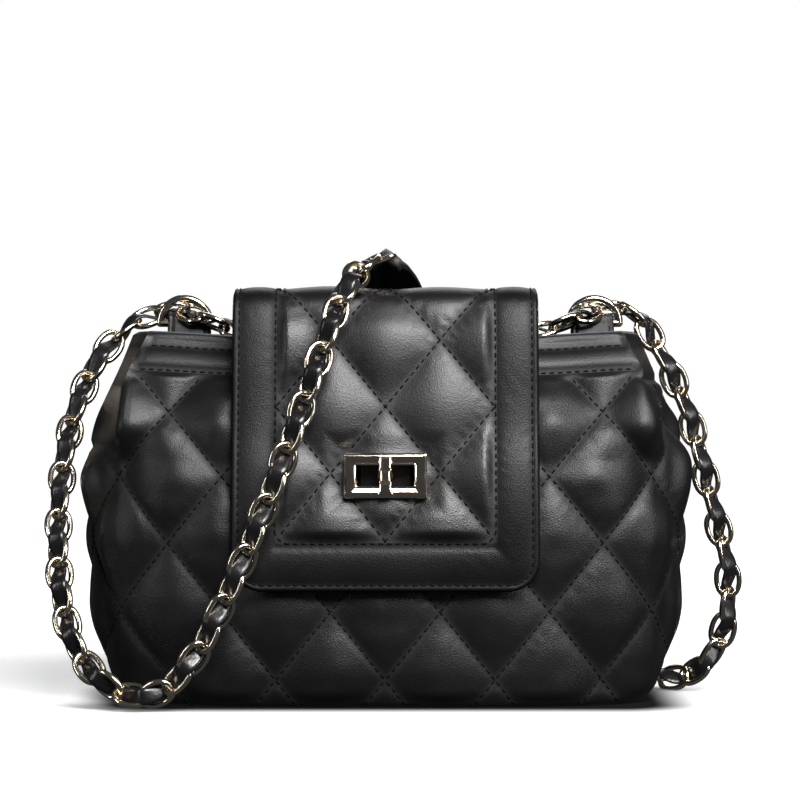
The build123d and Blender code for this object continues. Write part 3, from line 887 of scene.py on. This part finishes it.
def add_flap():
    """The quilted field, the border round it with its turned edges, the lining and the stitches."""
    grid, x, up, edge = flap_grid()
    zero_up, field_up = (np.interp(z, grid[:FRONT_ROWS, 0, 2], up[:FRONT_ROWS, 0])
                         for z in (FLAP_CROSSING_Z, FIELD_LOW_Z))
    relief = flap_relief(x, up, edge, zero_up, field_up)
    normal = flap_normals(grid)
    lift = np.sqrt(np.clip(1 - (1 - np.clip(edge / EDGE_ROLL, 0, 1)) ** 2, 0, 1))
    top = grid + normal * (relief * lift + (lift - 1) * 1.8)[..., None]
    under = grid - normal * FLAP_LEATHER_T
    turned = turned_edges(top, under)
    hole = ((np.abs(x) < WINDOW_HALF[0]) & (np.abs(grid[:, :, 2] - LOCK_Z) < WINDOW_HALF[1])
            & (grid[:, :, 1] < 0))
    in_field = (np.abs(x) <= FIELD_HALF_W) & (up >= field_up)
    cut_out, field = (np.pad(mask, ((1, 0), (1, 1))) for mask in (hole, in_field))
    seams = np.pad(flap_seams(x, up, edge, zero_up, field_up), ((1, 0), (1, 1)))
    quilting = grid_piece("flap_quilting", turned, field & ~cut_out, seams, FLAP_LAMBSKIN_PAINTED_BRIGHT, flip=True)
    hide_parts("flap_quilted_field")
    border = grid_piece("flap_frame_border", turned, ~field & ~cut_out, seams, BORDER_LAMBSKIN_PAINTED_DARK,
                        flip=True)
    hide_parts("flap_border", "flap_seam_strip")
    lined = np.s_[2:-22, 1:-1]              # the lining stops short of the edges and the sewn end
    sheet = np.concatenate([under[lined] + normal[lined] * 0.15,
                            (under[lined] - normal[lined] * 0.75)[::-1]])
    whole = ~np.concatenate([hole[lined], hole[lined][::-1]])
    lining = mesh_object("flap_inner_lining", sheet.reshape(-1, 3) * MM,
                         grid_faces(*sheet.shape[:2], keep=whole), [FLAP_LINING])
    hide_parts("flap_lining")
    stitches = add_flap_stitches(top, x, up, zero_up, field_up)
    for piece in (quilting, border, lining, stitches):
        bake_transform(piece)


def frame_path(half_w, low, radius, highest):
    """From the middle of a flap seam's bottom, round its corner and up its side: x and height up."""
    corner = np.linspace(0, math.pi / 2, 30)
    turn_x, turn_up = half_w - radius, low + radius
    return (np.concatenate([np.linspace(0, turn_x, 60), turn_x + radius * np.sin(corner),
                            np.full(400, half_w)]),
            np.concatenate([np.full(60, low), turn_up - radius * np.cos(corner),
                            np.linspace(turn_up, highest, 400)]))


def add_flap_stitches(top, x, up, zero_up, field_up):
    normals = flap_normals(top)
    stitches = Stitches()
    highest = up[SEWN_ROW, 0]

    def lay(xs, ups):
        rows = np.interp(ups, up[:, 0], np.arange(len(up)))
        low = np.clip(rows.astype(int), 0, len(x) - 1)
        columns = np.array([np.interp(v, x[r], np.arange(x.shape[1])) for v, r in zip(xs, low)])
        stitches.add_line(surface_at(top, rows, columns), surface_at(normals, rows, columns))

    for xs, ts in quilt_lines(-FIELD_HALF_W, FIELD_HALF_W, field_up - zero_up, highest - zero_up,
                              FLAP_DIAMOND_W, FLAP_DIAMOND_H):
        clear = ((np.abs(xs) > LOCK_CLEAR[0])
                 | (np.abs(ts - (LOCK_Z - FLAP_CROSSING_Z)) > LOCK_CLEAR[1]))
        clear &= (FIELD_HALF_W - np.abs(xs) > 3) | (ts + zero_up - field_up > 3)
        for part in split_runs(clear):
            lay(xs[part], ts[part] + zero_up)
    for side in (-1, 1):
        for seam in (frame_path(FIELD_HALF_W, field_up, FIELD_CORNER, highest),
                     frame_path(FLAP_HALF_W - EDGE_STITCH, EDGE_STITCH, FLAP_CORNER - EDGE_STITCH,
                                highest)):
            lay(side * seam[0], seam[1])
    piece = stitches.build("flap_stitches")
    return piece


# ---- chain strap ------------------------------------------------------------------------------
FRONT_ROUTE = [
    (-86, 17, 163), (-94, 20.5, 162.5), (-106, 18, 158.5), (-121, 11, 145), (-132, -3, 117),
    (-135, -20, 86), (-134, -36, 54), (-127, -49, 25), (-111, -57, 8), (-92, -62, 4.6),
    (-76, -66, 20), (-60, -69, 52), (-44, -69, 91), (-30, -63, 131), (-20, -54, 161),
    (-12.5, -42, 176), (-5.5, -27, 182.3),
]
SIDE_ROUTE = [
    (90, 16.5, 163), (98, 20, 165), (107, 19.5, 161), (116, 18.5, 147), (129, 18, 120),
    (138, 18, 84), (147, 20, 50), (144, 22, 22), (131, 26, 5.5), (112, 42, 4.2), (88, 58, 4.4),
    (58, 67, 4.2), (30, 69, 5.6), (10, 66, 18), (1, 57, 38),
]
INNER_ROUTE = [
    (-86, 15.5, 162.8), (-81, 9.5, 161), (-71, 7.5, 156.5), (-58, 6, 152.5), (-34, 4, 151),
    (0, 3, 150.2), (36, 4, 151), (60, 6, 152.5), (74, 7.5, 156.5), (84, 9.5, 161), (89, 15, 162.8),
]
# Which way the links face: share of the run's length, and the direction there.
FRONT_FACING = [(0, (0, 0.2, 1)), (0.04, (-0.2, -0.2, 1)), (0.1, (-0.3, -1, 0)),
                (0.9, (-0.2, -1, 0.1)), (1, (0, -0.6, 0.8))]
SIDE_FACING = [(0, (0, 0.2, 1)), (0.05, (0.3, -0.3, 1)), (0.13, (0.5, -1, 0)),
               (0.55, (0.4, -0.8, 0.4)), (0.7, (0, 0, 1)), (0.9, (0, 0.6, 0.8)), (1, (0, 1, 0.2))]
INNER_FACING = [(0, (0, -0.1, 1)), (0.3, (0, 0, 1)), (0.7, (0, 0, 1)), (1, (0, -0.1, 1))]
LINK_PITCH, LINK_W, LINK_ROLL = 10.9, 11.9, 33.0
WIRE_W, WIRE_T, WIRE_SIDES = 2.25, 2.4, 8
OCTAGON = 0.54             # an octagon's corner radius in wire widths, to be as full as a round wire
RIBBON_HALF_W, RIBBON_T, RIBBON_WEAVE = 3.5, 1.4, 2.3
# The ribbon's section as shares of its half width and its thickness.
RIBBON_SECTION = [(-1, 0), (-0.86, 0.42), (-0.5, 0.62), (0, 0.5), (0.5, 0.62), (0.86, 0.42), (1, 0),
                  (0.86, -0.42), (0.4, -0.5), (-0.4, -0.5), (-0.86, -0.42)]
LOWEST_CHAIN = 0.15


def route_line(name, route):
    """The points of the smooth NURBS line through a route's control points, in mm."""
    curve = bpy.data.curves.new(name + "_line", "CURVE")
    curve.dimensions, curve.resolution_u = "3D", 16
    line = curve.splines.new("NURBS")
    line.points.add(len(route) - 1)
    for point, place in zip(line.points, route):
        point.co = (*[c * MM for c in place], 1)
    line.order_u = 3
    line.use_endpoint_u = True
    holder = bpy.data.objects.new(name + "_line", curve)
    mesh = bpy.data.meshes.new_from_object(holder)
    points = np.array([v.co for v in mesh.vertices])
    bpy.data.objects.remove(holder)
    bpy.data.meshes.remove(mesh)
    return points / MM


def chain_frames(line, at, facing):
    """Place, direction, facing and sideways vectors at distances along the line."""
    far = lengths(line)
    along = sample_at(line, far, at + 2) - sample_at(line, far, at - 2)
    along /= np.linalg.norm(along, axis=1, keepdims=True)
    shares = np.array([share for share, _ in facing])
    want = sample_at(np.array([way for _, way in facing], float), shares, at / far[-1])
    out = want - along * np.sum(want * along, 1, keepdims=True)
    out /= np.linalg.norm(out, axis=1, keepdims=True)
    return sample_at(line, far, at), along, out, np.cross(along, out)


def link_mesh(pitch):
    """One oval chain link about its own middle: x across, y along, z out of its flat face."""
    half_w, half_l = LINK_W / 2 - WIRE_W / 2, pitch / 2 + 0.35 + WIRE_W / 2
    around, points = 30, []
    for k in range(around):
        turn = 2 * math.pi * k / around
        cx = half_w * np.sign(math.cos(turn)) * abs(math.cos(turn)) ** 0.82
        cy = half_l * np.sign(math.sin(turn)) * abs(math.sin(turn)) ** 0.92
        nx, ny = math.cos(turn) / half_w, math.sin(turn) / half_l
        size = math.hypot(nx, ny)
        for side in range(WIRE_SIDES):
            corner = 2 * math.pi * (side + 0.5) / WIRE_SIDES
            reach = math.cos(corner) * WIRE_W * OCTAGON
            points.append((cx + nx / size * reach, cy + ny / size * reach,
                           math.sin(corner) * WIRE_T * OCTAGON))
    return np.array(points), closed_tube_faces(around, WIRE_SIDES)


def chain_links(line, facing, count, seed):
    """Oval links one after another, rolled to and fro and a little uneven."""
    pitch = lengths(line)[-1] / count
    place, along, out, across = chain_frames(line, (np.arange(count) + 0.5) * pitch, facing)
    link_points, link_faces = link_mesh(pitch)
    source = np.random.default_rng(seed)
    points, faces = [], []
    for k in range(count):
        roll = math.radians((1 if k % 2 else -1) * LINK_ROLL + source.uniform(-6, 6))
        lean = math.radians(source.uniform(-4, 4))
        side = across[k] * math.cos(roll) + out[k] * math.sin(roll)
        face = out[k] * math.cos(roll) - across[k] * math.sin(roll)
        ahead = along[k] * math.cos(lean) + side * math.sin(lean)
        side = side * math.cos(lean) - along[k] * math.sin(lean)
        faces += [tuple(k * len(link_points) + i for i in f) for f in link_faces]
        points.append(place[k] + link_points[:, :1] * side + link_points[:, 1:2] * ahead
                      + link_points[:, 2:] * face)
    return np.concatenate(points), faces


def chain_ribbon(line, facing, count):
    """The leather ribbon that passes over one link and under the next, its ends tucked in."""
    total, sides = lengths(line)[-1], len(RIBBON_SECTION)
    steps = np.linspace(0.5, total - 0.5, count * 10)
    place, _, out, across = chain_frames(line, steps, facing)
    tuck = smooth_step(np.minimum(steps, total - steps), 1, 7)
    weave = np.cos(steps / total * count * math.pi) * tuck - 0.5 * (1 - tuck)
    wide = RIBBON_HALF_W * (0.80 + 0.2 * smooth_step(weave, -0.9, 0.2)) * (0.45 + 0.55 * tuck)
    rings = [[place[k] + across[k] * a * wide[k] + out[k] * (RIBBON_WEAVE * weave[k] + 0.35 + b * RIBBON_T)
              for a, b in RIBBON_SECTION] for k in range(len(steps))]
    faces = grid_faces(len(steps), sides, True)
    faces.append(tuple(range(sides)))
    faces.append(tuple((len(steps) - 1) * sides + k for k in range(sides))[::-1])
    return np.array(rings).reshape(-1, 3), faces


def add_chain(name, route, facing, node, seed):
    """Oval links along the route, and the leather ribbon woven through them."""
    line = route_line(name, route)
    total = lengths(line)[-1]
    count = round(total / LINK_PITCH)
    links, link_faces = chain_links(line, facing, count, seed)
    ribbon, ribbon_faces = chain_ribbon(line, facing, count)
    points = np.vstack([links, ribbon])
    points[:, 2] = np.maximum(points[:, 2], LOWEST_CHAIN)
    faces = link_faces + [tuple(len(links) + i for i in f) for f in ribbon_faces]
    piece = mesh_object(name, points * MM, faces, [CHAIN_GOLD, STRAP_LEATHER],
                        [0] * len(link_faces) + [1] * len(ribbon_faces))
    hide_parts(node)
    return piece


def add_chains():
    front = add_chain("front_chain_run", FRONT_ROUTE, FRONT_FACING, "strap_front_chain", 71)
    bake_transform(front)
    side = add_chain("side_chain_run", SIDE_ROUTE, SIDE_FACING, "strap_side_chain", 72)
    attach(side, "bag")
    inner = add_chain("inner_chain_run", INNER_ROUTE, INNER_FACING, "strap_inner_chain", 73)
    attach(inner, "bag")


# ---- shoulder pad -----------------------------------------------------------------------------
# Side view (y, z) of the pad's middle, from its front end, over the flap's top, down behind.
PAD_LINE = [(-17.5, 182.6), (-10, 185.4), (1, 185.8), (18, 182.0), (34, 173.0), (46, 159.5),
            (53, 145), (55.4, 124), (55.0, 90), (54.75, 46.5)]
PAD_HALF_W, PAD_END_HALF_W, PAD_HALF_T = 16.0, 5.4, 2.1
PAD_ARCH = 11.0            # how far the pad's sides hang below its middle over the flap
PAD_STITCH = 2.6           # a groove runs along the pad this far from its edge
LOOP_HALF, LOOP_WIRE_R, LOOP_CORNER = (6.25, 4.0), 1.15, 1.7
LOOP_SIDES = 12


def add_pad():
    """One soft strap, narrow at its ends, arched over the flap and hanging flat behind."""
    line = spline(PAD_LINE, 160)
    far = lengths(line)
    total = far[-1]
    tangent = np.gradient(line, axis=0)
    tangent /= np.linalg.norm(tangent, axis=1, keepdims=True)
    normal = np.stack([-tangent[:, 1], tangent[:, 0]], 1)
    taper = np.where(far < total / 2, smooth_step(far, -8, 46), smooth_step(total - far, 1, 24))
    half = PAD_END_HALF_W + (PAD_HALF_W - PAD_END_HALF_W) * taper
    arch = PAD_ARCH * (0.25 + 0.75 * (1 - smooth_step(far, 30, 95)))
    turns = np.linspace(0, 2 * math.pi, 56, endpoint=False)
    cx, cn = np.cos(turns), np.sin(turns)
    rings = []
    for k in range(len(line)):
        x = half[k] * np.sign(cx) * np.abs(cx) ** 0.55
        thick = PAD_HALF_T * (1 - 0.35 * ripple(np.abs(x), half[k] - PAD_STITCH, 0.8))
        n = thick * np.sign(cn) * np.abs(cn) ** 0.6
        n += 0.25 * waves(81, x, np.full_like(x, far[k]), 14)
        n -= arch[k] * (np.abs(x) / PAD_HALF_W) ** 1.05
        rings.append(np.stack([x, line[k, 0] + normal[k, 0] * n, line[k, 1] + normal[k, 1] * n], 1))
    faces = grid_faces(len(rings), len(turns), True)
    faces.append(tuple(range(len(turns)))[::-1])
    faces.append(tuple((len(rings) - 1) * len(turns) + k for k in range(len(turns))))
    piece = mesh_object("shoulder_pad", np.array(rings).reshape(-1, 3) * MM, faces, [SMOOTH])
    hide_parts("pad_front", "pad_rear")
    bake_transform(piece)


def rounded_rectangle(half_w, half_h, radius, per_corner):
    """Anticlockwise round a rectangle with round corners: each point and its outward direction."""
    path = []
    for index, (sx, sy) in enumerate(((1, 1), (-1, 1), (-1, -1), (1, -1))):
        for a in np.linspace(0, math.pi / 2, per_corner):
            turn = index * math.pi / 2 + a
            nx, ny = math.cos(turn), math.sin(turn)
            path.append((sx * (half_w - radius) + radius * nx, sy * (half_h - radius) + radius * ny,
                         nx, ny))
    return path


def add_wire_loop(name, node, centre, along, tilt):
    """A rounded rectangular loop of round wire; along is its way through the pad's end."""
    along = np.array(along, float)
    tilt = math.radians(tilt)
    across = (np.array([1, 0, 0]) * math.cos(tilt)
              + np.cross(along, [1, 0, 0]) * math.sin(tilt))
    out = np.cross(across, along)
    path = rounded_rectangle(LOOP_HALF[0] - LOOP_WIRE_R, LOOP_HALF[1] - LOOP_WIRE_R, LOOP_CORNER, 9)
    points = []
    for px, py, nx, ny in path:
        for k in range(LOOP_SIDES):
            turn = 2 * math.pi * k / LOOP_SIDES
            reach, lift = LOOP_WIRE_R * math.cos(turn), LOOP_WIRE_R * math.sin(turn)
            points.append(np.array(centre) + across * (px + nx * reach) + along * (py + ny * reach)
                          + out * lift)
    piece = mesh_object(name, np.array(points) * MM, closed_tube_faces(len(path), LOOP_SIDES), [GOLD])
    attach(piece, node)
    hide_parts(node)


# ---- ring tabs --------------------------------------------------------------------------------
TABS = {"left": (-83.6, 1.5), "right": (87.6, -1.5)}    # middle, and fall of the top from left to right
TAB_HALF_W, RING_Y, RING_Z = 9.1, 15.2, 157.4
TAB_FOLD_R = 3.7           # the tab's outer face turns round the ring's bar with this radius
TAB_MIDDLE_Y = 17.6
# Side view (y, z) of the tab in front of the fold, coming up, and behind it, going down.
TAB_FRONT = [(17.2, 139), (13.2, 144), (10.4, 149.5), (10.6, 152.5)]
TAB_BACK = [(19.4, 151.5), (20.6, 146), (20.4, 139)]
TAB_STITCH_COLUMNS = (3.4, 26.6)


def tab_grid(x, fall):
    """A tab folded round the ring's bar, its edges rounded off and sewn down along both sides."""
    turns = np.linspace(0, 1.25 * math.pi, 20)
    fold = [(RING_Y - TAB_FOLD_R * math.cos(a), RING_Z + TAB_FOLD_R * math.sin(a)) for a in turns]
    columns = np.linspace(-1, 1, 31)
    round_off = np.sqrt(np.clip(1 - (np.clip(np.abs(columns) - 0.86, 0, 1) / 0.14) ** 2, 0, 1))
    mix = (round_off * (1 - 0.3 * ripple(np.abs(columns), 0.78, 0.05)))[:, None]
    rows = []
    for place in spline(TAB_FRONT + fold[:-1] + TAB_BACK, 90):
        middle = np.array([TAB_MIDDLE_Y, min(place[1], RING_Z)])
        inner = middle + (place - middle) * 0.62
        spot = inner + (place - inner) * mix
        spot[:, 1] -= fall * columns * smooth_step(spot[:, 1], 152, 161)
        rows.append(np.column_stack([x + columns * TAB_HALF_W, spot]))
    return np.array(rows)


def add_tabs():
    for name, (x, fall) in TABS.items():
        grid = tab_grid(x, fall)
        piece = grid_object(name + "_tab_leather", grid, SMOOTH)
        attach(piece, "bag")
        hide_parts(name + "_ring_tab")
        stitches = Stitches()
        normals = -grid_normals(grid, False)
        rows = np.linspace(2, 34, 60)
        for column in TAB_STITCH_COLUMNS:
            stitches.add_line(surface_at(grid, rows, np.full(60, column)),
                              surface_at(normals, rows, np.full(60, column)))
        sewn = stitches.build(name + "_tab_stitches")
        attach(sewn, "bag")


# ---- turn lock --------------------------------------------------------------------------------
FRAME_HALF, FRAME_BACK_Y, FRAME_FRONT_Y = (16.75, 9.15), -54.6, -58.0
LOCK_HOLE_HALF = (11.5, 4.0)
# The turn bar's blocks from the top: height of the middle, width, height and depth.
BAR_BLOCKS = [(5.3, 4.6, 4.4, 4.2), (2.55, 5.0, 0.9, 3.6), (0, 3.9, 4.4, 3.2),
              (-2.55, 5.0, 0.9, 3.6), (-4.8, 4.8, 3.6, 4.2), (-6.8, 5.8, 1.2, 3.4)]


def lock_ring(half_w, half_h, radius, y):
    """One rounded rectangle of the lock's frame, about the lock's middle."""
    return [(x, y, LOCK_Z + z) for x, z, _, _ in rounded_rectangle(half_w, half_h, radius, 6)]


def add_lock():
    """The frame: a bevelled plate, dished towards a raised rim round its window."""
    w, h = FRAME_HALF
    a, b = LOCK_HOLE_HALF
    front = FRAME_FRONT_Y
    stations = [
        (w - 0.3, h - 0.3, 0.7, FRAME_BACK_Y), (w, h, 0.9, FRAME_BACK_Y - 0.4), (w, h, 0.9, front + 1.2),
        (w - 0.25, h - 0.25, 0.8, front + 0.55), (w - 0.9, h - 0.9, 0.6, front + 0.1),
        (w - 1.25, h - 1.25, 0.6, front), (a + 2.7, b + 2.6, 1.1, front + 0.02),
        (a + 1.2, b + 1.1, 1.0, front + 0.55), (a + 0.95, b + 0.9, 0.9, front + 0.1),
        (a + 0.6, b + 0.6, 0.8, front - 0.1), (a + 0.3, b + 0.3, 0.7, front + 0.1),
        (a + 0.05, b + 0.05, 0.6, front + 0.6), (a, b, 0.6, FRAME_BACK_Y - 0.2),
        (a + 0.3, b + 0.3, 0.6, FRAME_BACK_Y),
    ]
    grid = np.array([lock_ring(*s) for s in stations + stations[:1]])
    piece = grid_object("lock_face_frame", grid, GOLD, wrap=True)
    crisp(piece, 14)
    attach(piece, "flap")
    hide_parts("lock_frame")
    add_turn_bar()


def add_turn_bar():
    """Two caps that lap the frame, and a waist between two small collars."""
    back = FRAME_FRONT_Y - 0.3
    points, faces = [], []
    for z, wide, tall, deep in BAR_BLOCKS:
        bevel = min(0.55, tall * 0.35)
        base = len(points)
        for inset, out in ((0, 0.0), (0, deep - bevel), (bevel * 0.35, deep - bevel * 0.35), (bevel, deep)):
            for sx, sz in ((1, 1), (-1, 1), (-1, -1), (1, -1)):
                points.append((sx * (wide / 2 - inset), back - out, LOCK_Z + z + sz * (tall / 2 - inset)))
        faces += grid_faces(4, 4, True, base)
        faces.append(tuple(base + k for k in range(4))[::-1])
        faces.append(tuple(base + 12 + k for k in range(4)))
    piece = mesh_object("turn_bar_knob", np.array(points) * MM, faces, [GOLD], smooth=False)
    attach(piece, "turn_bar")
    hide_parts("turn_bar")


# ---- the whole purse --------------------------------------------------------------------------
add_camera()
add_chains()
add_stage_and_light()
add_body_stitches(*add_body())
add_stiffener()
add_lining()
add_flap()
add_pad()
add_wire_loop("front_wire_loop", "pad_front_loop", (-1.4, -20.4, 182.6), (0, -1, 0), 21)
add_wire_loop("rear_wire_loop", "pad_rear_loop", (0, 54.75, 43.6), (0, 0, -1), 0)
add_tabs()
add_lock()

for node, material in {
    "lock_base_plate": DARK_METAL, "lock_post": GOLD, "left_ring": GOLD,
    "right_ring": GOLD, "lock_back_plate": GOLD, "lock_screws": GOLD, "turn_spindle": GOLD,
}.items():
    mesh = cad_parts[node].data
    mesh.materials.clear()
    mesh.materials.append(material)
